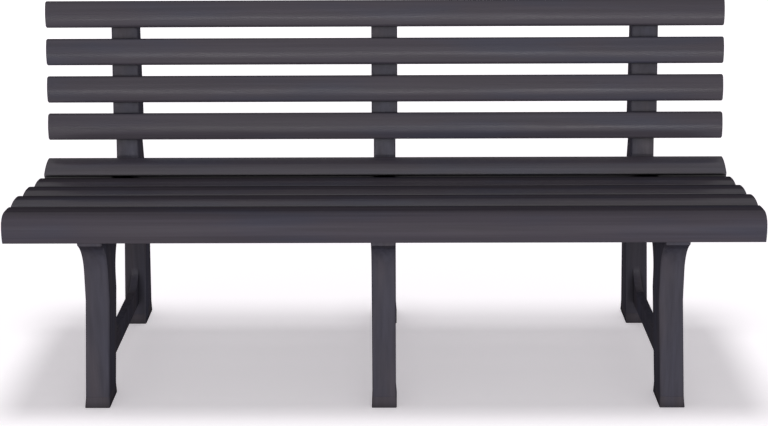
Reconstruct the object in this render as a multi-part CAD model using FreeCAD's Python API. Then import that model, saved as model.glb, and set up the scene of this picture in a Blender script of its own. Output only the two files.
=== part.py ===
"""Slatted garden bench of moulded plastic: nine slats, three leg frames, three back posts, six foot caps.

Millimetres. X runs along the bench, +Y to the back, +Z up. The origin is on the floor, at the middle of the
bench's length and depth. While the pieces are made, depth counts from the front slat's nose, level from the
floor, and leg frames, back posts and foot caps stand on the bench's middle line.
"""

import FreeCAD, Part

import math
import os

V = FreeCAD.Vector
ORIGIN = V(0, 0, 0)
X_AXIS = V(1, 0, 0)
Z_AXIS = V(0, 0, 1)

# Whole bench
bench_length = 1455.0
bench_height = 740.0
seat_height = 412.5
slat_overhang = 166.5

# Slat mouldings
slat_wall = 3.0
slat_thickness = 18.0
slat_crown_radius = 82.0
slat_corner_radius = 7.0
slat_end_bevel = 2.0
wide_slat_width = 77.3
narrow_slat_width = 57.0
rib_thickness = 2.4
rib_spacing = 190.0
cross_rib_lift = 3.0

# Snap prongs behind each slat, and the walls of the rails and back posts that they clip onto
clip_wall = 4.2
prong_width = 13.0
prong_thickness = 2.6
prong_spread = 14.0
prong_catch = 1.4
prong_tip = 4.5
prong_play = 0.2
prong_clearance = 0.3

# Front slat
nose_radius = 80.0
nose_drop = 43.5
front_slat_depth = 66.0
front_slat_thickness = 14.2
front_slat_height = 55.1
front_corner_radius = 28.0
front_crown_radius = 130.0
front_crown_depth = 38.0
front_prong_depth = 43.0
front_end_depth = 36.0
front_end_run = 8.0

# Seat slats behind the front one
wide_slat_gap = 8.0
wide_slat_angles = (4.5, 6.6, 6.4)
rear_slat_gap = 12.0
rear_slat_step = 4.6
rear_slat_angle = 25.3

# Back
back_gap = 13.4
back_recline = 12.1
back_lift = 44.8
back_slat_spacing = 80.0
post_below_top = 14.0
post_top_depth = 34.6
post_bottom_depth = 61.0
post_cover = 5.0
post_top_round = 14.0

# Sleeve of the back post over the stub of the leg frame
sleeve_clearance = 0.3
stub_reach = 10.0
stop_fin_reach = 9.0
stop_fin_thickness = 3.0
stub_screw_inset = 42.0
stub_boss_diameter = 11.0
stub_boss_length = 10.0

# Leg frame
frame_width = 47.0
frame_wall = 3.6
edge_bevel = 2.0
front_leg_setback = 18.5
front_leg_depth = 70.0
front_leg_lean = 22.0
knee_drop = 90.5
rear_leg_depth = 78.0
rear_leg_rake = 42.0
leg_taper = 2.6
leg_splay_angle = 3.1
splay_drop = 187.5
rail_drop = 82.5
leg_core_drop = 30.0
core_pocket_depth = 30.0
arch_radius = 85.0
flare_radius = 72.0
lip_depth = 1.5
lip_height = 6.0
nose_clearance = 4.2
rail_rib_thickness = 3.0
post_root_round = 8.0

# Stretcher between the two legs of a frame
stretcher_level = 50.0
stretcher_height = 44.0
stretcher_width = 16.0
stretcher_wall = 3.0
stretcher_fillet = 45.0

# Foot caps
foot_height = 23.0
foot_flare = 1.6
foot_wall = 3.4
plug_height = 24.0
plug_wall = 3.0
plug_clearance = 0.3
heel_reach = 16.0
heel_height = 10.0
heel_width = 42.0
heel_corner = 7.0

# Screws, all of one kind
screw_diameter = 4.5
screw_length = 17.0
screw_head_diameter = 10.0
screw_head_height = 2.6
screw_hole_clearance = 0.4
screw_pilot_clearance = 0.05

# How far a cutting tool runs past the face that it opens
overrun = 1.0


def unit(start, end):
    length = math.hypot(end[0] - start[0], end[1] - start[1])
    return (end[0] - start[0]) / length, (end[1] - start[1]) / length


def beyond(start, direction, distance):
    return start[0] + direction[0] * distance, start[1] + direction[1] * distance


class Seating:
    """A seating line in the side view: a start, a length along it and its rise to the back in degrees."""

    def __init__(self, start, length, rise):
        self.start = start
        self.length = length
        self.rise = rise
        angle = math.radians(rise)
        self.along = (math.cos(angle), math.sin(angle))
        self.out = (-math.sin(angle), math.cos(angle))

    def point(self, along, out=0.0):
        """Depth and level of a point given along the line and square out from it."""
        return beyond(beyond(self.start, self.along, along), self.out, out)

    def end(self):
        return self.point(self.length)

    def put(self, shape, along, out=0.0, x=0.0):
        """A copy of a shape modelled with Y along the line and Z out from it, moved to its place."""
        placed = shape.copy()
        placed.rotate(ORIGIN, X_AXIS, self.rise)
        placed.translate(V(x, *self.point(along, out)))
        return placed


class Face:
    """A steep flat face in the side view, through one depth at one level, with its lean to the back."""

    def __init__(self, depth, level, lean):
        self.depth = depth
        self.level = level
        self.lean = lean

    def at(self, level):
        return self.depth + self.lean * (level - self.level)

    def point(self, level):
        return self.at(level), level

    def moved(self, distance):
        """The same face moved to the back, square to itself."""
        return Face(self.depth + distance * math.hypot(1.0, self.lean), self.level, self.lean)

    def crossing(self, other):
        """Depth and level where two faces meet."""
        own = self.depth - self.lean * self.level
        others = other.depth - other.lean * other.level
        return self.point((own - others) / (other.lean - self.lean))


def face_through(low, high):
    return Face(low[0], low[1], (high[0] - low[0]) / (high[1] - low[1]))


class Arc:
    """An arc in the side view about a centre, between two angles in degrees."""

    def __init__(self, centre, radius, start_angle, end_angle):
        self.centre = centre
        self.radius = radius
        self.start = self.point(start_angle)
        self.middle = self.point((start_angle + end_angle) / 2)
        self.end = self.point(end_angle)

    def point(self, angle):
        turn = math.radians(angle)
        return beyond(self.centre, (math.cos(turn), math.sin(turn)), self.radius)

    def edge(self):
        return Part.Arc(V(0, *self.start), V(0, *self.middle), V(0, *self.end)).toShape()


def direction_angle(start, end):
    return math.degrees(math.atan2(end[1] - start[1], end[0] - start[0]))


def rounded(before, corner, after, radius):
    """The arc that rounds the corner between two neighbours."""
    to_before = unit(corner, before)
    to_after = unit(corner, after)
    half = math.acos(to_before[0] * to_after[0] + to_before[1] * to_after[1]) / 2
    inward = unit((0.0, 0.0), (to_before[0] + to_after[0], to_before[1] + to_after[1]))
    centre = beyond(corner, inward, radius / math.sin(half))
    run = radius / math.tan(half)
    start_angle = direction_angle(centre, beyond(corner, to_before, run))
    end_angle = direction_angle(centre, beyond(corner, to_after, run))
    turn = (end_angle - start_angle + 180.0) % 360.0 - 180.0
    return Arc(centre, radius, start_angle, start_angle + turn)


def closed_wire(items):
    """A closed wire in the side view through points and arcs, with straight edges between them."""
    edges = []
    last = items[-1].end if isinstance(items[-1], Arc) else items[-1]
    for item in items:
        start = item.start if isinstance(item, Arc) else item
        if math.dist(last, start) > 1e-6:
            edges.append(Part.LineSegment(V(0, *last), V(0, *start)).toShape())
        if isinstance(item, Arc):
            edges.append(item.edge())
        last = item.end if isinstance(item, Arc) else item
    return Part.Wire(edges)


def outline(corners):
    """A closed wire in the side view from corners, each (depth, level) or (depth, level, rounding)."""
    items = []
    for number, corner in enumerate(corners):
        if len(corner) == 3:
            before = corners[number - 1][:2]
            after = corners[(number + 1) % len(corners)][:2]
            items.append(rounded(before, corner[:2], after, corner[2]))
        else:
            items.append(corner)
    return closed_wire(items)


def bar(wire, length, x=0.0):
    """A solid of a side-view section, of a length centred at x."""
    solid = Part.Face(wire).extrude(V(length, 0, 0))
    solid.translate(V(x - length / 2, 0, 0))
    return solid


def block(x, y, z):
    """A box from three pairs of limits."""
    return Part.makeBox(x[1] - x[0], y[1] - y[0], z[1] - z[0], V(x[0], y[0], z[0]))


def around(middle, width):
    return middle - width / 2, middle + width / 2


def cylinder(radius, low, high, x=0.0, y=0.0):
    return Part.makeCylinder(radius, high - low, V(x, y, low), Z_AXIS)


def fused(shapes):
    return shapes[0].multiFuse(shapes[1:]).removeSplitter()


def meeting(first, first_reach, second, second_reach):
    """The point at given distances from two points in the side view, in front of the line through them."""
    gap = math.dist(first, second)
    along = (gap**2 + first_reach**2 - second_reach**2) / (2 * gap)
    down = unit(first, second)
    forward = (down[1], -down[0])
    return beyond(beyond(first, down, along), forward, math.sqrt(first_reach**2 - along**2))


def crown_corner(width):
    """Centre of a flat slat's corner arc, placed so that it runs into the crown."""
    reach = width / 2 - slat_corner_radius
    rise = math.sqrt((slat_crown_radius - slat_corner_radius) ** 2 - reach**2)
    return reach, slat_thickness - slat_crown_radius + rise


# Seating lines of the seat, from the front slat to the rear slat
front_seat_level = seat_height - front_slat_thickness
ledge_level = seat_height - front_slat_height
nose_centre = (nose_radius, seat_height - nose_drop)
front_line = Seating((0.0, front_seat_level), front_slat_depth, 0.0)
wide_lines = []
last_end = front_line.end()
for angle in wide_slat_angles:
    gap_line = Seating(last_end, wide_slat_gap, -angle)
    wide_lines.append(Seating(gap_line.end(), wide_slat_width, -angle))
    last_end = wide_lines[-1].end()
rear_start = (last_end[0] + rear_slat_gap, last_end[1] + rear_slat_step)
rear_line = Seating(rear_start, narrow_slat_width, rear_slat_angle)
seat_back_depth, seat_back_level = rear_line.end()

# Fronts of the stub and the back post
stub_front = Face(seat_back_depth + back_gap, seat_back_level, math.tan(math.radians(back_recline)))
post_front = stub_front.moved(-(clip_wall + sleeve_clearance))

# Seating lines of the back slats, lowest first, spread evenly from the seat to the top of the bench
upright_share = math.cos(math.radians(back_recline))
top_reach, top_rise = crown_corner(narrow_slat_width)
top_slat_rise = top_reach * upright_share + top_rise * math.sqrt(1 - upright_share**2) + slat_corner_radius
low_level = seat_back_level + back_lift
high_level = bench_height - top_slat_rise - narrow_slat_width / 2 * upright_share
back_spaces = round((high_level - low_level) / (back_slat_spacing * upright_share))
back_lines = []
for place in range(back_spaces + 1):
    start_level = low_level + (high_level - low_level) * place / back_spaces
    back_lines.append(Seating(post_front.point(start_level), narrow_slat_width, 90.0 - back_recline))

# Levels and rears of the stub and the back post
post_top = bench_height - post_below_top
post_bottom = back_lines[0].start[1] + post_cover
stub_top = back_lines[1].start[1] + stub_reach
post_rear = face_through(
    (post_front.at(post_bottom) + post_bottom_depth, post_bottom),
    (post_front.at(post_top) + post_top_depth, post_top),
)
post_reach = post_rear.moved(-post_top_round).at(post_top - post_top_round) + post_top_round
stub_rear = post_rear.moved(-(clip_wall + sleeve_clearance))

# Levels of the leg frame, hung from the seat
knee_level = seat_height - knee_drop
splay_level = seat_height - splay_drop
rail_underside = seat_height - rail_drop
leg_core_height = rail_underside - leg_core_drop

# Faces of the legs
lip = (lip_depth, ledge_level - lip_height)
front_leg_knee = (front_leg_setback + front_leg_lean, knee_level)
front_leg_front = face_through((front_leg_setback, foot_height), front_leg_knee)
flare = face_through(front_leg_knee, lip)
front_leg_back = front_leg_setback + front_leg_depth
front_leg_high = (front_leg_back + front_leg_lean + leg_taper, rail_underside)
front_leg_rear = face_through((front_leg_back, foot_height), front_leg_high)
rear_leg_back = stub_rear.at(post_bottom) + rear_leg_rake
rear_leg_rear = face_through((rear_leg_back, foot_height), stub_rear.point(post_bottom))
rear_leg_fore = rear_leg_back - rear_leg_depth
rear_leg_front = face_through((rear_leg_fore, foot_height), (rear_leg_fore + leg_taper, rail_underside))
leg_faces = {"front": (front_leg_front, front_leg_rear), "rear": (rear_leg_front, rear_leg_rear)}
rail_front = slat_wall + nose_clearance

# Sizes and places shared by several pieces
bench_depth = max(post_reach, rear_leg_back + foot_flare + heel_reach)
frame_sides = {"left": -1, "centre": 0, "right": 1}
frame_places = {name: side * (bench_length / 2 - slat_overhang) for name, side in frame_sides.items()}
floor_splay = math.tan(math.radians(leg_splay_angle)) * splay_level
splayed_width = frame_width + 2 * floor_splay
post_width = frame_width + 2 * (sleeve_clearance + clip_wall)
frame_inside = frame_width - 2 * frame_wall
pilot_radius = screw_diameter / 2 + screw_pilot_clearance
hole_radius = screw_diameter / 2 + screw_hole_clearance
seat_joints = [(front_line, front_prong_depth)]
seat_joints += [(line, line.length / 2) for line in [*wide_lines, rear_line]]


def slat_section(width, offset, foot):
    """A flat slat's section moved in by offset: flanges from level foot, round corners, a crowned face."""
    crown = (0.0, slat_thickness - slat_crown_radius)
    right = crown_corner(width)
    left = (-right[0], right[1])
    side = width / 2 - offset
    radius = slat_corner_radius - offset
    lean = direction_angle(crown, right)
    items = [
        (side, foot),
        Arc(right, radius, 0.0, lean),
        Arc(crown, slat_crown_radius - offset, lean, 180.0 - lean),
        Arc(left, radius, 180.0 - lean, 180.0),
        (-side, foot),
    ]
    return closed_wire(items)


def rolled_section(offset, drop, underside):
    """The front slat's section moved in by offset, its feet lowered by drop: nose, corner, crown, flange.

    underside is the section's path from the rear foot back to the front one.
    """
    crown = (front_crown_depth, seat_height - front_crown_radius)
    nose_side = nose_radius - front_corner_radius
    crown_side = front_crown_radius - front_corner_radius
    front_corner = meeting(nose_centre, nose_side, crown, crown_side)
    rear_depth = front_slat_depth - slat_corner_radius
    rise = math.sqrt((front_crown_radius - slat_corner_radius) ** 2 - (rear_depth - front_crown_depth) ** 2)
    rear_corner = (rear_depth, crown[1] + rise)
    nose_end = direction_angle(nose_centre, front_corner)
    crown_start = direction_angle(crown, front_corner)
    crown_end = direction_angle(crown, rear_corner)
    nose_reach = nose_radius - offset
    turn_under = math.degrees(math.asin((nose_centre[1] - ledge_level + drop) / nose_reach))
    items = [
        Arc(nose_centre, nose_reach, 180.0 + turn_under, nose_end),
        Arc(front_corner, front_corner_radius - offset, nose_end, crown_start),
        Arc(crown, front_crown_radius - offset, crown_start, crown_end),
        Arc(rear_corner, slat_corner_radius - offset, crown_end, 0.0),
        (front_slat_depth - offset, front_seat_level - drop),
        *underside,
    ]
    return closed_wire(items)


def with_bevelled_ends(slat):
    """Bevels the two ends of a slat along its curved edges and its upright flanges."""
    edges = []
    for edge in slat.Edges:
        at_end = edge.BoundBox.XLength < 0.001
        curved = isinstance(edge.Curve, Part.Circle)
        if at_end and (curved or edge.BoundBox.YLength < 0.001):
            edges.append(edge)
    return slat.makeChamfer(slat_end_bevel, edges)


def cross_rib_places():
    """Where a slat's cross ribs stand: evenly in each bay, clear of the leg frames."""
    half = bench_length / 2
    stops = [-half, *frame_places.values(), half]
    places = []
    for low, high in zip(stops, stops[1:]):
        count = round((high - low) / rib_spacing)
        places += [low + (high - low) * number / count for number in range(1, count)]
    return places


def prongs(x, spine, foot, root):
    """The two snap prongs of a slat at x, that hook behind the wall that the slat's foot rests on."""
    outside = prong_spread / 2
    inside = outside - prong_thickness
    hook = foot - clip_wall - prong_play
    profile = [
        (inside, root),
        (outside, root),
        (outside, hook),
        (outside + prong_catch, hook),
        (outside, hook - prong_tip),
        (inside, hook - prong_tip),
    ]
    sides = (1.0, -1.0)
    return [bar(closed_wire([(spine + side * y, z) for y, z in profile]), prong_width, x) for side in sides]


def prong_window(low, high, catch):
    """The window for a slat's prongs in a wall behind its seating plane, wide enough for a catch."""
    width = prong_width + 2 * prong_clearance
    height = prong_spread + 2 * (prong_clearance + catch)
    return block(around(0.0, width), around(0.0, height), (low, high))


def ribbed_slat(outer_section, inner_section, spine, foot, top):
    """A slat: a shell with closed ends, a spine, cross ribs, and snap prongs for each leg frame or post."""
    outer = with_bevelled_ends(bar(outer_section, bench_length))
    inner = bar(inner_section, bench_length - 2 * slat_wall)
    limits = (outer.BoundBox.YMin, outer.BoundBox.YMax)
    ribs = [block(around(0.0, bench_length), around(spine, rib_thickness), (foot, top))]
    for x in cross_rib_places():
        ribs.append(block(around(x, rib_thickness), limits, (foot + cross_rib_lift, top)))
    hooks = [prong for x in frame_places.values() for prong in prongs(x, spine, foot, top - slat_wall / 2)]
    return fused([outer.cut(inner), *[rib.common(outer) for rib in ribs], *hooks])


def flat_slat(width):
    outer = slat_section(width, 0.0, 0.0)
    inner = slat_section(width, slat_wall, -slat_wall)
    return ribbed_slat(outer, inner, 0.0, 0.0, slat_thickness)


def front_slat():
    under_nose = (slat_wall + front_end_run, ledge_level)
    outer = rolled_section(0.0, 0.0, [(front_end_depth, front_seat_level), under_nose])
    inner = rolled_section(slat_wall, slat_wall, [(front_slat_depth - slat_wall, ledge_level - slat_wall)])
    return ribbed_slat(outer, inner, front_prong_depth, front_seat_level, seat_height)


# Leg frame


def splay(level, side):
    """How far a leg frame stands out at a level, for its side: -1 left, 0 centre, 1 right."""
    return side * floor_splay * max(0.0, 1.0 - level / splay_level)


def splayed(wire, width, side):
    """A side-view section made as wide as a leg frame's part, with the legs splayed out below the seat."""
    profile = [(splay(0.0, side), 0.0), (0.0, splay_level), (0.0, bench_height)]
    points = [V(middle - width / 2, -overrun, level) for middle, level in profile]
    points += [V(middle + width / 2, -overrun, level) for middle, level in reversed(profile)]
    band = Part.Face(Part.makePolygon([*points, points[0]])).extrude(V(0, bench_depth + 2 * overrun, 0))
    return bar(wire, splayed_width).common(band).removeSplitter()


def frame_outline():
    """The leg frame's side view, from the front foot up and over the seat rail and stub to the arch."""
    seat_points = [front_line.end()]
    for line in [*wide_lines, rear_line]:
        seat_points += [line.start, line.end()]
    return outline(
        [
            front_leg_front.point(foot_height),
            (*front_leg_knee, flare_radius),
            lip,
            (lip_depth, ledge_level),
            (rail_front, ledge_level),
            (rail_front, front_seat_level, front_seat_level - nose_centre[1]),
            *seat_points,
            (*stub_front.point(seat_back_level), post_root_round),
            stub_front.point(stub_top),
            stub_rear.point(stub_top),
            stub_rear.point(post_bottom),
            rear_leg_rear.point(foot_height),
            rear_leg_front.point(foot_height),
            (*rear_leg_front.point(rail_underside), arch_radius),
            (*front_leg_rear.point(rail_underside), arch_radius),
            front_leg_rear.point(foot_height),
        ]
    )


def frame_inside_outline():
    """The space inside the rail and the stub, one wall in from the outline and open at the stub's top."""
    wall = frame_wall
    under = rail_underside + wall
    low = leg_core_height - core_pocket_depth
    front = Face(rail_front + wall, ledge_level, 0.0)
    rear = stub_rear.moved(-wall)
    leg_front = front_leg_front.moved(wall)
    roof = front_seat_level - clip_wall
    roof_points = [(front_slat_depth, roof)]
    for line in [*wide_lines, rear_line]:
        roof_points += [line.point(0.0, -clip_wall), line.point(line.length, -clip_wall)]
    return outline(
        [
            (front.depth, roof, roof - nose_centre[1]),
            front.crossing(flare.moved(wall)),
            (*flare.moved(wall).crossing(leg_front), flare_radius + wall),
            leg_front.point(low),
            (front_leg_rear.moved(-wall).at(foot_height), low),
            (*front_leg_rear.moved(-wall).point(under), arch_radius + wall),
            (*rear_leg_front.moved(wall).point(under), arch_radius + wall),
            (rear_leg_front.moved(wall).at(foot_height), low),
            rear_leg_rear.moved(-wall).point(low),
            rear.crossing(rear_leg_rear.moved(-wall)),
            rear.point(stub_top + overrun),
            stub_front.moved(wall).point(stub_top + overrun),
            stub_front.moved(wall).point(seat_back_level - clip_wall),
            *reversed(roof_points),
        ]
    )


def leg_core(front, rear, growth, low, high):
    """The core of a leg between its front and rear faces, moved out by growth from one wall in."""
    inset = frame_wall - growth
    corners = [
        front.moved(inset).point(low),
        front.moved(inset).point(high),
        rear.moved(-inset).point(high),
        rear.moved(-inset).point(low),
    ]
    return outline(corners)


def frame_cores(side):
    """Everything that is hollow in a leg frame: two legs open below, the closed rail, and the open stub."""
    low = foot_height - overrun
    cores = []
    kept = []
    for faces in leg_faces.values():
        cores.append(splayed(leg_core(*faces, 0.0, low, leg_core_height), frame_inside, side))
        kept.append(bar(leg_core(*faces, frame_wall, low, leg_core_height + frame_wall), frame_width))
    web = [
        stub_front.point(rail_underside - core_pocket_depth),
        stub_front.point(seat_height),
        stub_front.moved(frame_wall).point(seat_height),
        stub_front.moved(frame_wall).point(rail_underside - core_pocket_depth),
    ]
    kept.append(bar(outline(web), frame_width))
    seams = [wide_lines[0].start, *[line.end() for line in wide_lines]]
    for depth, level in seams:
        kept.append(block(around(0.0, frame_width), around(depth, rail_rib_thickness), (foot_height, level)))
    cores.append(bar(frame_inside_outline(), frame_inside).cut(kept))
    return cores


def stretcher(side):
    """The low bar between the legs: a channel open below, with a web that curves up into each leg."""
    top = stretcher_level + stretcher_height
    high = top + stretcher_fillet + 2 * stretcher_wall
    front = front_leg_rear
    rear = rear_leg_front
    sunk = frame_wall / 2
    shape = [
        front.moved(-sunk).point(stretcher_level),
        rear.moved(sunk).point(stretcher_level),
        rear.moved(sunk).point(high),
        rear.point(high),
        (*rear.point(top), stretcher_fillet),
        (*front.point(top), stretcher_fillet),
        front.point(high),
        front.moved(-sunk).point(high),
    ]
    channel = [
        front.point(stretcher_level - overrun),
        rear.point(stretcher_level - overrun),
        rear.point(top - stretcher_wall),
        front.point(top - stretcher_wall),
    ]
    inside = splayed(outline(channel), stretcher_width - 2 * stretcher_wall, side)
    return splayed(outline(shape), stretcher_width, side).cut(inside)


def with_bevelled_sides(solid, width, side):
    """Bevels the edges of both side faces, apart from the seat and the faces that other pieces meet."""
    joint_levels = (foot_height, splay_level, post_bottom, stub_top)
    edges = []
    for edge in solid.Edges:
        box = edge.BoundBox
        ends_reach = sum(end.X - splay(end.Z, side) for end in edge.Vertexes)
        on_side = abs(abs(ends_reach) - width) < 0.001
        at_seat = box.ZMin > ledge_level - 0.001 and box.YMax < seat_back_depth + 0.001
        at_joint = box.ZLength < 0.001 and any(abs(box.ZMin - level) < 0.001 for level in joint_levels)
        if on_side and not (at_seat or at_joint):
            edges.append(edge)
    return solid.makeChamfer(edge_bevel, edges)


def rear_seating():
    """The rear face of the back post as a seating line, from its foot up to the top of the stub."""
    low = post_rear.point(post_bottom)
    high = post_rear.point(stub_top)
    return Seating(high, math.dist(low, high), direction_angle(high, low))


def leg_frame(side):
    """One moulding: two hollow legs, a stretcher, a seat rail, and the stub of a back post."""
    rear = rear_seating()
    inner_face = clip_wall + sleeve_clearance + frame_wall
    boss_end = inner_face + stub_boss_length
    boss = cylinder(stub_boss_diameter / 2, -boss_end, frame_wall / 2 - inner_face)
    pilot = cylinder(pilot_radius, -boss_end - overrun, 0.0)
    slat = back_lines[0]
    window = prong_window(-clip_wall - prong_play - prong_tip - overrun, 0.0, 0.0)
    holes = [line.put(window, along) for line, along in seat_joints]
    window = prong_window(-inner_face - overrun, 0.0, prong_catch + prong_clearance)
    holes += [slat.put(window, slat.length / 2), rear.put(pilot, stub_screw_inset)]
    shape = splayed(frame_outline(), frame_width, side)
    frame = with_bevelled_sides(shape, frame_width, side).cut(frame_cores(side))
    return fused([frame, stretcher(side), rear.put(boss, stub_screw_inset)]).cut(holes)


def back_post():
    """The upper post: a tapered sleeve over the stub, closed at its top, with a window for each slat."""
    outside = [
        post_front.point(post_bottom),
        post_front.point(post_top),
        (*post_rear.point(post_top), post_top_round),
        post_rear.point(post_bottom),
    ]
    front = post_front.moved(clip_wall)
    rear = post_rear.moved(-clip_wall)
    inside = [
        front.point(post_bottom - overrun),
        front.point(post_top - clip_wall),
        (*rear.point(post_top - clip_wall), post_top_round - clip_wall),
        rear.point(post_bottom - overrun),
    ]
    sleeve = with_bevelled_sides(bar(outline(outside), post_width), post_width, 0)
    sleeve = sleeve.cut(bar(outline(inside), post_width - 2 * clip_wall))
    middle = face_through(
        ((front.at(stub_top) + rear.at(stub_top)) / 2, stub_top),
        ((front.at(post_top) + rear.at(post_top)) / 2, post_top),
    )
    fin_front = middle.moved(-stop_fin_thickness / 2)
    fin_rear = middle.moved(stop_fin_thickness / 2)
    fin_top = post_top - clip_wall / 2
    fin = [
        fin_front.point(stub_top),
        fin_front.point(fin_top),
        fin_rear.point(fin_top),
        fin_rear.point(stub_top),
    ]
    offset = (post_width - clip_wall - stop_fin_reach) / 2
    fins = [bar(outline(fin), stop_fin_reach, x) for x in (-offset, offset)]
    window = prong_window(-clip_wall - overrun, overrun, 0.0)
    holes = [line.put(window, line.length / 2) for line in back_lines]
    screw_hole = cylinder(hole_radius, -clip_wall - overrun, overrun)
    holes.append(rear_seating().put(screw_hole, stub_screw_inset))
    return fused([sleeve, *fins]).cut(holes)


# Foot caps


def tapered(faces, side, low_growth, high_growth, height):
    """A block from the floor to a height, grown round the leg's foot by one amount below and one above."""
    front, rear = faces
    half = frame_width / 2
    low = splay(0.0, side)
    high = splay(height, side)
    fore = -front.at(foot_height)
    back = -rear.at(foot_height)
    low_corner = (low - half - low_growth, 0.0, back - low_growth)
    low_section = (back - high_growth, high - half - high_growth)
    high_corner = (low + half + low_growth, height, fore + low_growth)
    high_section = (fore + high_growth, high + half + high_growth)
    wedge = Part.makeWedge(*low_corner, *low_section, *high_corner, *high_section)
    wedge.rotate(ORIGIN, X_AXIS, 90.0)
    return wedge


def foot_cap(faces, side):
    """A cap under a leg: a flared shell open below, a heel behind it and a plug that fills the leg's core."""
    front, rear = faces
    roof = foot_height - foot_wall
    outer = tapered(faces, side, foot_flare, 0.0, foot_height)
    outer = outer.makeChamfer(edge_bevel, [edge for edge in outer.Edges if edge.BoundBox.ZLength > roof])
    hollow = tapered(faces, side, foot_flare - foot_wall, -foot_wall, roof)
    heel_front = rear.at(foot_height) - foot_wall
    heel_rear = rear.at(foot_height) + foot_flare + heel_reach
    middle = splay(0.0, side)
    heel = block(around(middle, heel_width), (heel_front, heel_rear), (0.0, heel_height))
    rear_edges = [edge for edge in heel.Edges if edge.BoundBox.YMin > heel_rear - 0.001]
    heel = heel.makeChamfer(heel_corner, [edge for edge in rear_edges if edge.BoundBox.XLength < 0.001])
    heel_hollow = block(
        around(middle, heel_width - 2 * heel_corner),
        (heel_front - overrun, heel_rear - foot_wall),
        (-overrun, heel_height - foot_wall),
    )
    plug_top = foot_height + plug_height
    plug_width = frame_inside - 2 * plug_clearance
    plug = splayed(leg_core(front, rear, -plug_clearance, roof, plug_top), plug_width, side)
    bore_core = leg_core(front, rear, -plug_clearance - plug_wall, foot_height, plug_top + overrun)
    bore = splayed(bore_core, plug_width - 2 * plug_wall, side)
    return fused([outer, heel]).cut([hollow, heel_hollow]).fuse(plug.cut(bore)).removeSplitter()


# Screws


def screw():
    """A pan-head screw along Z, with its head on the plane that it bears on and its tip below."""
    head = cylinder(screw_head_diameter / 2, 0.0, screw_head_height)
    return head.fuse(cylinder(screw_diameter / 2, -screw_length, 0.0)).removeSplitter()


def post_screws():
    """A screw behind each back post, through its sleeve into the boss in the stub."""
    fastener = screw()
    return [rear_seating().put(fastener, stub_screw_inset, 0.0, x) for x in frame_places.values()]


def bench():
    """Every piece of the bench in its place, by name."""
    pieces = {"seat_slat_front": front_slat()}
    wide = flat_slat(wide_slat_width)
    for number, line in enumerate(wide_lines, 2):
        pieces[f"seat_slat_{number}"] = line.put(wide, line.length / 2)
    narrow = flat_slat(narrow_slat_width)
    pieces["seat_slat_rear"] = rear_line.put(narrow, rear_line.length / 2)
    for number, line in enumerate(back_lines, 1):
        pieces[f"back_slat_{number}"] = line.put(narrow, line.length / 2)
    post = back_post()
    for name, side in frame_sides.items():
        place = V(frame_places[name], 0, 0)
        pieces[f"leg_frame_{name}"] = leg_frame(side).translated(place)
        pieces[f"back_post_{name}"] = post.translated(place)
        for end, faces in leg_faces.items():
            pieces[f"foot_cap_{end}_{name}"] = foot_cap(faces, side).translated(place)
    pieces["post_screws"] = Part.makeCompound(post_screws())
    return pieces


def main():
    os.makedirs("parts", exist_ok=True)
    for name, shape in bench().items():
        shape.translated(V(0, -bench_depth / 2, 0)).exportStep(f"parts/{name}.step")
    print("bench depth", round(bench_depth, 2))


if __name__ == "__main__":
    main()
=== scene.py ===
"""A slatted garden bench of moulded anthracite plastic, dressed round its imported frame.

The moulded pieces get their finish, the post screws are modelled, and a pale studio lights the bench.
"""

import math

import bpy
from mathutils import Euler, Matrix, Vector


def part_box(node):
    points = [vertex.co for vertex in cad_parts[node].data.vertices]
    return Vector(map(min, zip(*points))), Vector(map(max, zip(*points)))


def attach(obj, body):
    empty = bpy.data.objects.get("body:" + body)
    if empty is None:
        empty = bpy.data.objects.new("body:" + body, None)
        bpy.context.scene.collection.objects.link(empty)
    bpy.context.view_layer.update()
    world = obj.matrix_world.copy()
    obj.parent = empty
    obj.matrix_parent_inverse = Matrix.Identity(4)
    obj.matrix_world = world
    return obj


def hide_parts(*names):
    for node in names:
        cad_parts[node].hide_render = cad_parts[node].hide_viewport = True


bl_info = {
    "name": "Slatted Garden Bench",
    "version": (1, 0, 0),
    "blender": (4, 5, 0),
    "location": "View3D > Sidebar > Bench",
    "description": "Finishes, screws and studio of a moulded plastic garden bench",
    "category": "Object",
}

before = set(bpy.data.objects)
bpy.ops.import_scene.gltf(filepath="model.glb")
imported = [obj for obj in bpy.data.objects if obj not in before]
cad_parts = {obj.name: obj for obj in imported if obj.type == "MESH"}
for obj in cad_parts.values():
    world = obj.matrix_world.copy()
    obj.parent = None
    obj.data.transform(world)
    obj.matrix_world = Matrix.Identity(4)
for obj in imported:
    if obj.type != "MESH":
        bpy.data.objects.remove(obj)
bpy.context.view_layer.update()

MM = 0.001
SIDES = ("left", "centre", "right")
SEAT_SLATS = ["seat_slat_front", "seat_slat_2", "seat_slat_3", "seat_slat_4", "seat_slat_rear"]
BACK_SLATS = [f"back_slat_{number}" for number in range(1, 5)]
LEG_FRAMES = [f"leg_frame_{side}" for side in SIDES]
BACK_POSTS = [f"back_post_{side}" for side in SIDES]
FOOT_CAPS = [f"foot_cap_{end}_{side}" for end in ("front", "rear") for side in SIDES]


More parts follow.
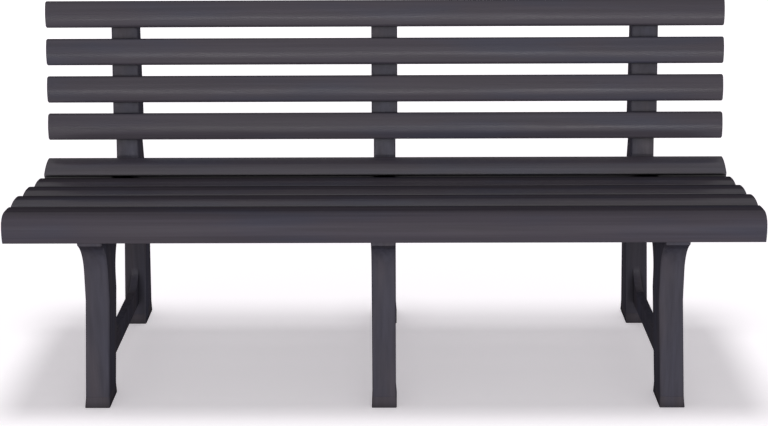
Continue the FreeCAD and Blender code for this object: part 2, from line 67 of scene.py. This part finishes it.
class PlasticFinish(bpy.types.PropertyGroup):
    slat_colour: bpy.props.StringProperty(
        name="Slats",
        description="Main colour of the slats, as sRGB hex",
        default="#3A363D",
    )
    frame_colour: bpy.props.StringProperty(
        name="Frames",
        description="Main colour of leg frames and back posts, as sRGB hex",
        default="#34323A",
    )
    foot_colour: bpy.props.StringProperty(
        name="Feet",
        description="Main colour of the foot caps, as sRGB hex",
        default="#383439",
    )
    warm_colour: bpy.props.StringProperty(
        name="Warm tint",
        description="Colour where the pigment runs warm, as sRGB hex",
        default="#3B373D",
    )
    cool_colour: bpy.props.StringProperty(
        name="Cool tint",
        description="Colour where the pigment runs cool, as sRGB hex",
        default="#373640",
    )
    streak_length: bpy.props.FloatProperty(
        name="Streak length",
        description="Length of the flow streaks, in metres",
        default=0.5,
        unit="LENGTH",
    )
    streak_width: bpy.props.FloatProperty(
        name="Streak width",
        description="Width of the flow streaks, in metres",
        default=0.007,
        unit="LENGTH",
    )
    grain: bpy.props.FloatProperty(
        name="Grain",
        description="Size of the surface grain, in metres",
        default=0.0018,
        unit="LENGTH",
    )


class ScrewFinish(bpy.types.PropertyGroup):
    bright_colour: bpy.props.StringProperty(
        name="Bright plating",
        description="Colour where the plating took well, as sRGB hex",
        default="#C3C5C9",
    )
    dull_colour: bpy.props.StringProperty(
        name="Dull plating",
        description="Colour where the plating took badly, as sRGB hex",
        default="#A9ABAE",
    )


class StudioSizes(bpy.types.PropertyGroup):
    lens: bpy.props.FloatProperty(
        name="Lens",
        description="Focal length on a 36 mm sensor, in millimetres",
        default=62.29,
        unit="CAMERA",
    )
    floor_colour: bpy.props.StringProperty(
        name="Floor",
        description="Colour of the studio floor, as sRGB hex",
        default="#F6F3F6",
    )
    bounce_colour: bpy.props.StringProperty(
        name="Bounce",
        description="Colour of the light that the floor sends back, as sRGB hex",
        default="#C4C3C5",
    )
    glow_colour: bpy.props.StringProperty(
        name="Floor glow",
        description="Colour of the paleness added to the floor in the picture, as sRGB hex",
        default="#FFFAFF",
    )
    floor_lift: bpy.props.FloatProperty(
        name="Floor lift",
        description="Paleness added to the floor round the bench, as a share of white",
        default=0.405,
    )
    key_power: bpy.props.FloatProperty(
        name="Key",
        description="Power of the large soft lamp in front",
        default=116.0,
        unit="POWER",
    )
    strip_power: bpy.props.FloatProperty(
        name="Strip",
        description="Power of the low strip lamp that draws the sheen line",
        default=22.0,
        unit="POWER",
    )
    rear_power: bpy.props.FloatProperty(
        name="Rear",
        description="Power of the soft lamp behind the bench",
        default=100.0,
        unit="POWER",
    )
    side_power: bpy.props.FloatProperty(
        name="Sides",
        description="Power of each soft lamp beside the bench",
        default=46.0,
        unit="POWER",
    )
    fill_strength: bpy.props.FloatProperty(
        name="Fill",
        description="Strength of the soft light from all round",
        default=0.27,
    )
    floor_light: bpy.props.FloatProperty(
        name="Floor light",
        description="Power of the overhead lamp that lights the floor alone",
        default=18.6,
    )
    floor_lamp_height: bpy.props.FloatProperty(
        name="Floor lamp height",
        description="Height of the overhead lamp, in metres",
        default=8.0,
        unit="LENGTH",
    )


def linear(hex_colour):
    """An sRGB hex colour as linear RGBA."""
    channels = [int(hex_colour[place:place + 2], 16) / 255 for place in (1, 3, 5)]
    return (*[c / 12.92 if c <= 0.04045 else ((c + 0.055) / 1.055) ** 2.4 for c in channels], 1.0)


def add_node(tree, kind, settings=None, **links):
    """Adds a shader node with its settings and links.

    Settings go by the name or number of a socket, or by the name of a property. Links go by the
    name of a socket with _ for each space, or by its number after one _.
    """
    node = tree.nodes.new(kind)
    for name, value in (settings or {}).items():
        if isinstance(name, int) or name in node.inputs:
            node.inputs[name].default_value = value
        else:
            setattr(node, name, value)
    for name, source in links.items():
        socket = int(name[1:]) if name[1:].isdigit() else name.replace("_", " ")
        tree.links.new(source, node.inputs[socket])
    return node


def set_stops(ramp, stops):
    """Gives a colour ramp its stops, each a place and an sRGB hex colour."""
    elements = ramp.color_ramp.elements
    while len(elements) < len(stops):
        elements.new(1.0)
    for element, (place, colour) in zip(elements, stops):
        element.position = place
        element.color = linear(colour)


def new_material(name):
    """A material with its node tree and its shader."""
    material = bpy.data.materials.new(name)
    material.use_nodes = True
    return material, material.node_tree, material.node_tree.nodes["Principled BSDF"]


MULTIPLY = {"operation": "MULTIPLY"}
# Most of a noise lies between these values
NOISE_RANGE = {"From Min": 0.3, "From Max": 0.7}

# The axes along which the melt ran in a mould
ALONG_X = 0
ALONG_Z = 2

# Sizes of the plastic's patterns, and offsets that keep them apart
PATCH_WIDTH = 50.0 * MM
PATCH_LENGTH = 330.0 * MM
STREAK_SHIFT = (3.1, 1.7, 5.3)
RIPPLE_WIDTH = 22.0 * MM
RIPPLE_LENGTH = 190.0 * MM
RIPPLE_DEPTH = 0.45 * MM
RIPPLE_SHIFT = (7.7, 2.9, 4.1)
GRAIN_DEPTH = 0.06 * MM
EDGE_ROUND = 1.5 * MM

# How much a streak darkens or lightens the pigment, and how far it changes the roughness
STREAK_SHADE = {**NOISE_RANGE, "To Min": 0.86, "To Max": 1.16}
POLISH_SWING = 0.06

# How near the next surface is where painted shade darkens the pigment
GAP_REACH = 20.0 * MM
# How far a gap is open, against the share of the pigment that its painted shade leaves
GAP_PAINTED_SHADE = {"From Min": 0.5, "From Max": 0.92, "To Min": 0.5, "To Max": 1.0}
SEAT_GAP_PAINTED_SHADE = {"From Min": 0.62, "From Max": 0.92, "To Min": 0.0, "To Max": 1.0}
# How far a surface turns to the rear, against the share of the pigment that its painted shade leaves
SHOULDER_PAINTED_SHADE = ((0.17, "#FFFFFF"), (0.3, "#8A8A8A"), (0.7, "#8A8A8A"), (0.9, "#FFFFFF"))

# How far the surface turns from the eye while its sheen fades away
SHEEN_FADE = {"From Min": 0.1, "From Max": 0.6, "To Max": 0.0}
POLYPROPYLENE_IOR = 1.49


def drawn_out_noise(tree, place, flow, width, length, shift=(0.0, 0.0, 0.0), **settings):
    """The value of a noise whose spots are drawn out along the flow, at their real width and length."""
    scale = [1.0 / width] * 3
    scale[flow] = 1.0 / length
    mapping = add_node(tree, "ShaderNodeMapping", {"Scale": scale, "Location": shift}, Vector=place)
    settings = {"Scale": 1.0, **settings}
    return add_node(tree, "ShaderNodeTexNoise", settings, Vector=mapping.outputs[0]).outputs["Fac"]


def moulded_plastic(name, main, roughness, sheen, flow, painted_seat_shade=False):
    """Polypropylene from a mould with a spark-eroded grain.

    The eye gets a satin, nearly black grey, whose pigment drifts between warm and cool, with long
    soft streaks where the melt ran. sheen is the specular level where the surface faces the eye,
    and flow is the axis along which the melt ran. Every surface gets painted shade in its narrow
    gaps. On the seat, the painted shade in its gaps is almost black, and its shoulders that fall
    away to the rear get painted shade too.
    """
    finish = bpy.context.scene.bench_plastic
    material, tree, shader = new_material(name)
    surface = add_node(tree, "ShaderNodeTexCoord")
    place = surface.outputs["Object"]

    # Pigment that drifts in long patches
    pigment = drawn_out_noise(tree, place, flow, PATCH_WIDTH, PATCH_LENGTH, Detail=2.0, Roughness=0.5)
    tint = add_node(tree, "ShaderNodeValToRGB", Fac=pigment)
    set_stops(tint, ((0.3, finish.warm_colour), (0.5, main), (0.7, finish.cool_colour)))

    # Flow streaks, paler and darker
    melt = drawn_out_noise(
        tree,
        place,
        flow,
        finish.streak_width,
        finish.streak_length,
        shift=STREAK_SHIFT,
        Detail=3.0,
        Roughness=0.55,
    )
    shade = add_node(tree, "ShaderNodeMapRange", STREAK_SHADE, Value=melt)

    # Painted shade in narrow gaps, darkest where the next surface is nearest
    gap = add_node(tree, "ShaderNodeAmbientOcclusion", {"samples": 8, "Distance": GAP_REACH})
    gap_shade_factor = add_node(
        tree, "ShaderNodeMapRange", SEAT_GAP_PAINTED_SHADE if painted_seat_shade else GAP_PAINTED_SHADE, Value=gap.outputs["AO"]
    )
    depth = add_node(
        tree, "ShaderNodeMath", MULTIPLY, _0=shade.outputs["Result"], _1=gap_shade_factor.outputs["Result"]
    )
    colour = add_node(
        tree, "ShaderNodeVectorMath", MULTIPLY, _0=tint.outputs["Color"], _1=depth.outputs[0]
    )
    if painted_seat_shade:
        # Painted shade on the shoulder that falls away to the rear
        turned = add_node(tree, "ShaderNodeSeparateXYZ", Vector=surface.outputs["Normal"])
        shoulder_shade_colour = add_node(tree, "ShaderNodeValToRGB", Fac=turned.outputs["Y"])
        set_stops(shoulder_shade_colour, SHOULDER_PAINTED_SHADE)
        colour = add_node(
            tree, "ShaderNodeVectorMath", MULTIPLY, _0=colour.outputs[0], _1=shoulder_shade_colour.outputs["Color"]
        )
    tree.links.new(colour.outputs[0], shader.inputs["Base Color"])

    # Sheen that varies, because the streaks took the mould's polish unevenly
    polish = {"To Min": roughness + POLISH_SWING, "To Max": roughness - POLISH_SWING}
    gloss = add_node(tree, "ShaderNodeMapRange", {**NOISE_RANGE, **polish}, Value=melt)
    tree.links.new(gloss.outputs["Result"], shader.inputs["Roughness"])

    # Soft edges, then ripples where the walls sank as they cooled, then the grain. The real grain is
    # 0.15 mm, and is drawn coarser because it would not show
    ripples = drawn_out_noise(
        tree, place, flow, RIPPLE_WIDTH, RIPPLE_LENGTH, shift=RIPPLE_SHIFT, Detail=1.0
    )
    grain = add_node(
        tree, "ShaderNodeTexNoise", {"Scale": 1.0 / finish.grain, "Detail": 1.0}, Vector=place
    )
    relief = add_node(tree, "ShaderNodeBevel", {"samples": 4, "Radius": EDGE_ROUND})
    for height, rise in ((ripples, RIPPLE_DEPTH), (grain.outputs["Fac"], GRAIN_DEPTH)):
        relief = add_node(
            tree,
            "ShaderNodeBump",
            {"Strength": 1.0, "Distance": rise},
            Height=height,
            Normal=relief.outputs[0],
        )
    tree.links.new(relief.outputs[0], shader.inputs["Normal"])

    # The grain shades itself at a glancing angle, so the sheen fades there
    facing = add_node(tree, "ShaderNodeLayerWeight", {"Blend": 0.5})
    fade = {**SHEEN_FADE, "To Min": sheen}
    level = add_node(tree, "ShaderNodeMapRange", fade, Value=facing.outputs["Facing"])
    tree.links.new(level.outputs["Result"], shader.inputs["Specular IOR Level"])
    shader.inputs["IOR"].default_value = POLYPROPYLENE_IOR
    return material


def dress(names, material):
    """Gives CAD nodes a material."""
    for name in names:
        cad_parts[name].data.materials[0] = material


class DressSlats(bpy.types.Operator):
    """Gives the slats of seat and back their finish"""

    bl_idname = "bench.slats"
    bl_label = "Dress Slats"

    def execute(self, context):
        colour = context.scene.bench_plastic.slat_colour
        plain = moulded_plastic(
            "slat_polypropylene", colour, roughness=0.25, sheen=0.22, flow=ALONG_X
        )
        # Sitting polishes the seat, and legs rub its front slat dull. Both seat finishes also get
        # painted shade in their gaps and on their rear shoulders
        polished = moulded_plastic(
            "polished_polypropylene", colour, roughness=0.32, sheen=0.5, flow=ALONG_X, painted_seat_shade=True
        )
        rubbed = moulded_plastic(
            "rubbed_polypropylene", colour, roughness=0.42, sheen=0.12, flow=ALONG_X, painted_seat_shade=True
        )
        dress(BACK_SLATS, plain)
        dress(SEAT_SLATS[1:], polished)
        dress(SEAT_SLATS[:1], rubbed)
        return {"FINISHED"}


class DressFrames(bpy.types.Operator):
    """Gives the leg frames and back posts their finish"""

    bl_idname = "bench.frames"
    bl_label = "Dress Frames"

    def execute(self, context):
        colour = context.scene.bench_plastic.frame_colour
        plastic = moulded_plastic(
            "frame_polypropylene", colour, roughness=0.38, sheen=0.2, flow=ALONG_Z
        )
        dress(LEG_FRAMES + BACK_POSTS, plastic)
        return {"FINISHED"}


class DressFeet(bpy.types.Operator):
    """Gives the foot caps their finish"""

    bl_idname = "bench.feet"
    bl_label = "Dress Feet"

    def execute(self, context):
        colour = context.scene.bench_plastic.foot_colour
        plastic = moulded_plastic(
            "foot_polypropylene", colour, roughness=0.45, sheen=0.2, flow=ALONG_Z
        )
        dress(FOOT_CAPS, plastic)
        return {"FINISHED"}


# Post screws: pan heads with a cross recess, on shanks that lean back with the stubs
HEAD_RADIUS = 5.0 * MM
HEAD_HEIGHT = 2.6 * MM
HEAD_ROUND = 1.3 * MM
SHANK_RADIUS = 2.25 * MM
SHANK_LENGTH = 17.0 * MM
TIP_LENGTH = 3.0 * MM
TIP_SHARE = 0.4
RECESS_SPAN = 5.0 * MM
RECESS_WIDTH = 1.1 * MM
RECESS_DEPTH = 1.7 * MM
RECESS_FLOOR_SHARE = 0.45
BLADE_HEIGHT = 2.8 * MM
PLATING_SPOT = 1.2 * MM
SCREW_LEAN = math.radians(6.75)
SCREW_PLACES = (-0.561, 0.0, 0.561)
QUARTER_TURN = math.radians(90.0)
SMOOTH_BELOW = math.radians(32.0)
NEARLY_LEVEL = 0.9


def zinc_plated_steel():
    """Zinc-plated steel, turned and barrel-plated.

    The eye gets a soft grey shine with a faint blue cast, and a mottle where the plating took
    unevenly.
    """
    finish = bpy.context.scene.bench_screws
    material, tree, shader = new_material("zinc_plated_steel")
    place = add_node(tree, "ShaderNodeTexCoord").outputs["Object"]
    mottle = add_node(
        tree, "ShaderNodeTexNoise", {"Scale": 1.0 / PLATING_SPOT, "Detail": 2.0}, Vector=place
    ).outputs["Fac"]
    tint = add_node(tree, "ShaderNodeValToRGB", Fac=mottle)
    set_stops(tint, ((0.35, finish.dull_colour), (0.65, finish.bright_colour)))
    tree.links.new(tint.outputs["Color"], shader.inputs["Base Color"])
    gloss = add_node(
        tree, "ShaderNodeMapRange", {**NOISE_RANGE, "To Min": 0.42, "To Max": 0.3}, Value=mottle
    )
    tree.links.new(gloss.outputs["Result"], shader.inputs["Roughness"])
    shader.inputs["Metallic"].default_value = 1.0
    return material


def select_only(piece):
    """Selects one object and nothing else, and makes it active."""
    bpy.ops.object.select_all(action="DESELECT")
    bpy.context.view_layer.objects.active = piece
    piece.select_set(True)


def settle(piece):
    """Puts a piece's place, turn and size into its mesh."""
    select_only(piece)
    bpy.ops.object.transform_apply(location=True, rotation=True, scale=True)


def pick_faces(mesh, test):
    """Selects the faces of an edited mesh whose normal passes a test, and nothing else."""
    bpy.ops.mesh.select_mode(type="FACE")
    bpy.ops.mesh.select_all(action="DESELECT")
    bpy.ops.object.mode_set(mode="OBJECT")
    for face in mesh.polygons:
        face.select = test(face.normal)
    bpy.ops.object.mode_set(mode="EDIT")


def faces_up(normal):
    return normal.z > NEARLY_LEVEL


def faces_down(normal):
    return normal.z < -NEARLY_LEVEL


def cut_cross_recess(screw):
    """Cuts a tapered cross into the top of a screw's head."""
    for turn in (0.0, QUARTER_TURN):
        bpy.ops.object.select_all(action="DESELECT")
        bpy.ops.mesh.primitive_cube_add(
            size=1.0, location=(0.0, 0.0, BLADE_HEIGHT / 2 - RECESS_DEPTH), rotation=(0.0, 0.0, turn)
        )
        blade = bpy.context.active_object
        blade.scale = (RECESS_SPAN, RECESS_WIDTH, BLADE_HEIGHT)
        settle(blade)
        bpy.ops.object.mode_set(mode="EDIT")
        pick_faces(blade.data, faces_down)
        bpy.ops.transform.resize(value=(RECESS_FLOOR_SHARE, RECESS_FLOOR_SHARE, 1.0))
        bpy.ops.object.mode_set(mode="OBJECT")
        select_only(screw)
        cut = screw.modifiers.new("recess", "BOOLEAN")
        cut.operation = "DIFFERENCE"
        cut.solver = "EXACT"
        cut.object = blade
        bpy.ops.object.modifier_apply(modifier=cut.name)
        bpy.data.objects.remove(blade)


def model_screw():
    """A pan-head screw along Z, with the top of its head on the origin."""
    bpy.ops.object.select_all(action="DESELECT")
    bpy.ops.mesh.primitive_cylinder_add(
        vertices=32, radius=HEAD_RADIUS, depth=HEAD_HEIGHT, location=(0.0, 0.0, -HEAD_HEIGHT / 2)
    )
    screw = bpy.context.active_object
    settle(screw)
    bpy.ops.object.mode_set(mode="EDIT")
    pick_faces(screw.data, faces_up)
    bpy.ops.mesh.bevel(offset=HEAD_ROUND, segments=4, profile=0.5)
    # The shank grows out of the head's underside, and narrows to its tip
    pick_faces(screw.data, faces_down)
    bpy.ops.mesh.inset(thickness=HEAD_RADIUS - SHANK_RADIUS)
    for length in (SHANK_LENGTH - TIP_LENGTH, TIP_LENGTH):
        bpy.ops.mesh.extrude_region_move(TRANSFORM_OT_translate={"value": (0.0, 0.0, -length)})
    bpy.ops.transform.resize(value=(TIP_SHARE, TIP_SHARE, 1.0))
    bpy.ops.object.mode_set(mode="OBJECT")
    cut_cross_recess(screw)
    bpy.ops.object.shade_smooth_by_angle(angle=SMOOTH_BELOW)
    return screw


class AddPostScrews(bpy.types.Operator):
    """Puts a zinc-plated pan-head screw behind each back post"""

    bl_idname = "bench.screws"
    bl_label = "Add Post Screws"

    def execute(self, context):
        low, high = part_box("post_screws")
        back = high.y - HEAD_RADIUS * math.sin(SCREW_LEAN)
        level = low.z + HEAD_RADIUS * math.cos(SCREW_LEAN)
        screw = model_screw()
        screw.rotation_euler = (-QUARTER_TURN - SCREW_LEAN, 0.0, 0.0)
        screw.location = (SCREW_PLACES[0], back, level)
        settle(screw)
        screws = [screw]
        for place in SCREW_PLACES[1:]:
            select_only(screw)
            bpy.ops.object.duplicate(linked=False)
            twin = context.active_object
            twin.location.x = place - SCREW_PLACES[0]
            settle(twin)
            screws.append(twin)
        steel = zinc_plated_steel()
        for side, piece in zip(SIDES, screws):
            piece.name = f"post_screw_{side}"
            piece.data.materials.clear()
            piece.data.materials.append(steel)
            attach(piece, "root")
            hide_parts("post_screws")
        return {"FINISHED"}


# The photograph's camera: pitch down, yaw to the right and roll in radians, and its place in metres
CAMERA_TURN = (0.304717, -0.010121, -0.005816)
CAMERA_PLACE = Vector((0.02644, -2.62453, 1.26092))
# The photograph is 768 pixels wide, and its view is shifted down by 50 of them
CAMERA_SHIFT = -50.0 / 768.0
SENSOR_WIDTH = 36.0
SIGHT_REACH = 50.0

# The soft lamps: each one's place, the point that it faces, its width and its height, in metres
SOFT_LAMPS = {
    "key_lamp": ((0.0, -3.4, 1.7), (0.0, 0.0, 0.45), 3.2, 1.5),
    "strip_lamp": ((0.0, -3.5, 0.67), (0.0, 0.0, 0.6), 3.8, 0.16),
    "rear_lamp": ((0.0, 3.4, 0.4), (0.0, 0.0, 0.4), 3.0, 0.8),
    "side_lamp_left": ((-4.0, 0.0, 0.45), (0.0, 0.0, 0.45), 2.4, 0.8),
    "side_lamp_right": ((4.0, 0.0, 0.45), (0.0, 0.0, 0.45), 2.4, 0.8),
}
# The only lamp that the plastic mirrors, as a narrow line of sheen
MIRRORED_LAMP = "strip_lamp"

# The floor lamp: how far behind the bench's middle it hangs, and its radius
FLOOR_LAMP_SETBACK = 0.12
FLOOR_LAMP_RADIUS = 1.05

# The floor: its size, and how far from its middle it starts to turn white and has turned white
FLOOR_SIZE = 60.0
FLOOR_FADE = {"From Min": 1.5, "From Max": 9.0}


def add_camera(lens):
    """Adds the camera of the photograph."""
    camera = bpy.data.cameras.new("studio_camera")
    camera.lens = lens
    camera.sensor_width = SENSOR_WIDTH
    camera.shift_y = CAMERA_SHIFT
    camera.clip_end = SIGHT_REACH
    holder = bpy.data.objects.new("studio_camera", camera)
    bpy.context.scene.collection.objects.link(holder)
    pitch, yaw, roll = CAMERA_TURN
    turn = Euler((QUARTER_TURN - pitch, 0.0, 0.0)).to_matrix()
    turn = Euler((0.0, 0.0, -yaw)).to_matrix() @ turn @ Euler((0.0, 0.0, roll)).to_matrix()
    holder.matrix_world = turn.to_4x4()
    holder.location = CAMERA_PLACE
    bpy.context.scene.camera = holder


def add_lamp(name, kind, place, target, **settings):
    """Adds a lamp that faces a point, and that the camera doesn't see."""
    lamp = bpy.data.lights.new(name, kind)
    for key, value in settings.items():
        setattr(lamp, key, value)
    holder = bpy.data.objects.new(name, lamp)
    bpy.context.scene.collection.objects.link(holder)
    holder.visible_camera = False
    aim = (Vector(target) - Vector(place)).to_track_quat("-Z", "Y")
    holder.matrix_world = Matrix.Translation(place) @ aim.to_matrix().to_4x4()
    return holder


def add_soft_lamps(sizes, floor):
    """Adds the soft lamps round the bench, which light all but the floor."""
    powers = (sizes.key_power, sizes.strip_power, sizes.rear_power, sizes.side_power, sizes.side_power)
    lit = bpy.data.collections.new("all_but_the_floor")
    lit.objects.link(floor)
    lit.collection_objects[0].light_linking.link_state = "EXCLUDE"
    for (name, (place, target, width, height)), power in zip(SOFT_LAMPS.items(), powers):
        lamp = add_lamp(
            name, "AREA", place, target, shape="RECTANGLE", size=width, size_y=height, energy=power
        )
        lamp.visible_glossy = name == MIRRORED_LAMP
        lamp.light_linking.receiver_collection = lit


def add_floor_lamp(sizes, floor):
    """Adds the overhead lamp, which lights the floor alone and makes the bench's shadow."""
    lamp = add_lamp(
        "floor_lamp",
        "POINT",
        (0.0, FLOOR_LAMP_SETBACK, sizes.floor_lamp_height),
        (0.0, FLOOR_LAMP_SETBACK, 0.0),
        energy=sizes.floor_light,
        shadow_soft_size=FLOOR_LAMP_RADIUS,
        use_nodes=True,
    )
    # Light that doesn't weaken with distance keeps the floor even
    tree = lamp.data.node_tree
    falloff = add_node(tree, "ShaderNodeLightFalloff", {"Strength": 1.0})
    tree.links.new(falloff.outputs["Constant"], tree.nodes["Emission"].inputs["Strength"])
    lit = bpy.data.collections.new("lit_by_floor_lamp")
    lit.objects.link(floor)
    lamp.light_linking.receiver_collection = lit


def in_picture(tree):
    """A factor that is 1 for the rays that show the background, straight, mirrored or through glass."""
    path = add_node(tree, "ShaderNodeLightPath")
    factor = path.outputs["Is Camera Ray"]
    for ray in ("Is Glossy Ray", "Is Transmission Ray"):
        larger = {"operation": "MAXIMUM"}
        factor = add_node(tree, "ShaderNodeMath", larger, _0=factor, _1=path.outputs[ray]).outputs[0]
    return factor


def studio_paint(sizes):
    """Matt white paint.

    The eye gets an even, pale floor with the bench's shadow on it. What the floor sends back to
    the bench is greyer, and its glow is only in the picture.
    """
    material, tree, shader = new_material("studio_paint")
    shown = in_picture(tree)
    paint = add_node(
        tree,
        "ShaderNodeMix",
        {"data_type": "RGBA", 6: linear(sizes.bounce_colour), 7: linear(sizes.floor_colour)},
        Factor=shown,
    )
    tree.links.new(paint.outputs[2], shader.inputs["Base Color"])
    shader.inputs["Roughness"].default_value = 0.9
    shader.inputs["Specular IOR Level"].default_value = 0.0
    shader.inputs["Emission Color"].default_value = linear(sizes.glow_colour)
    # The floor turns white with distance, so that it meets the background without an edge
    spot = add_node(tree, "ShaderNodeTexCoord").outputs["Object"]
    reach = add_node(tree, "ShaderNodeVectorMath", {"operation": "LENGTH"}, _0=spot)
    paleness = add_node(
        tree,
        "ShaderNodeMapRange",
        {**FLOOR_FADE, "To Min": sizes.floor_lift, "To Max": 1.0},
        Value=reach.outputs["Value"],
    )
    glow = add_node(tree, "ShaderNodeMath", MULTIPLY, _0=paleness.outputs["Result"], _1=shown)
    tree.links.new(glow.outputs[0], shader.inputs["Emission Strength"])
    return material


def white_surroundings(sizes):
    """A world that is white in the picture, and lights the bench softly from all round."""
    world = bpy.data.worlds.new("studio_world")
    world.use_nodes = True
    tree = world.node_tree
    background = tree.nodes["Background"]
    fill = {"To Min": sizes.fill_strength, "To Max": 1.0}
    strength = add_node(tree, "ShaderNodeMapRange", fill, Value=in_picture(tree))
    tree.links.new(strength.outputs["Result"], background.inputs["Strength"])
    background.inputs["Color"].default_value = linear("#FFFFFF")
    return world


class BuildStudio(bpy.types.Operator):
    """Adds the pale floor, the soft lamps and the camera"""

    bl_idname = "bench.studio"
    bl_label = "Build Studio"

    def execute(self, context):
        sizes = context.scene.bench_studio
        bpy.ops.object.select_all(action="DESELECT")
        bpy.ops.mesh.primitive_plane_add(size=FLOOR_SIZE)
        floor = context.active_object
        floor.name = "studio_floor"
        floor.data.materials.append(studio_paint(sizes))
        context.scene.world = white_surroundings(sizes)
        add_soft_lamps(sizes, floor)
        add_floor_lamp(sizes, floor)
        add_camera(sizes.lens)
        return {"FINISHED"}


OPERATORS = (DressSlats, DressFrames, DressFeet, AddPostScrews, BuildStudio)


class BenchPanel(bpy.types.Panel):
    bl_idname = "VIEW3D_PT_bench"
    bl_label = "Slatted Garden Bench"
    bl_space_type = "VIEW_3D"
    bl_region_type = "UI"
    bl_category = "Bench"

    def draw(self, context):
        for operator in OPERATORS:
            self.layout.operator(operator.bl_idname)


CLASSES = (PlasticFinish, ScrewFinish, StudioSizes, *OPERATORS, BenchPanel)


def register():
    for cls in CLASSES:
        bpy.utils.register_class(cls)
    bpy.types.Scene.bench_plastic = bpy.props.PointerProperty(type=PlasticFinish)
    bpy.types.Scene.bench_screws = bpy.props.PointerProperty(type=ScrewFinish)
    bpy.types.Scene.bench_studio = bpy.props.PointerProperty(type=StudioSizes)


def unregister():
    del bpy.types.Scene.bench_studio
    del bpy.types.Scene.bench_screws
    del bpy.types.Scene.bench_plastic
    for cls in reversed(CLASSES):
        bpy.utils.unregister_class(cls)


def main():
    register()
    bpy.context.scene.view_settings.view_transform = "Standard"
    bpy.ops.bench.slats()
    bpy.ops.bench.frames()
    bpy.ops.bench.feet()
    bpy.ops.bench.screws()
    bpy.ops.bench.studio()
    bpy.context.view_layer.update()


if __name__ == "__main__":
    main()
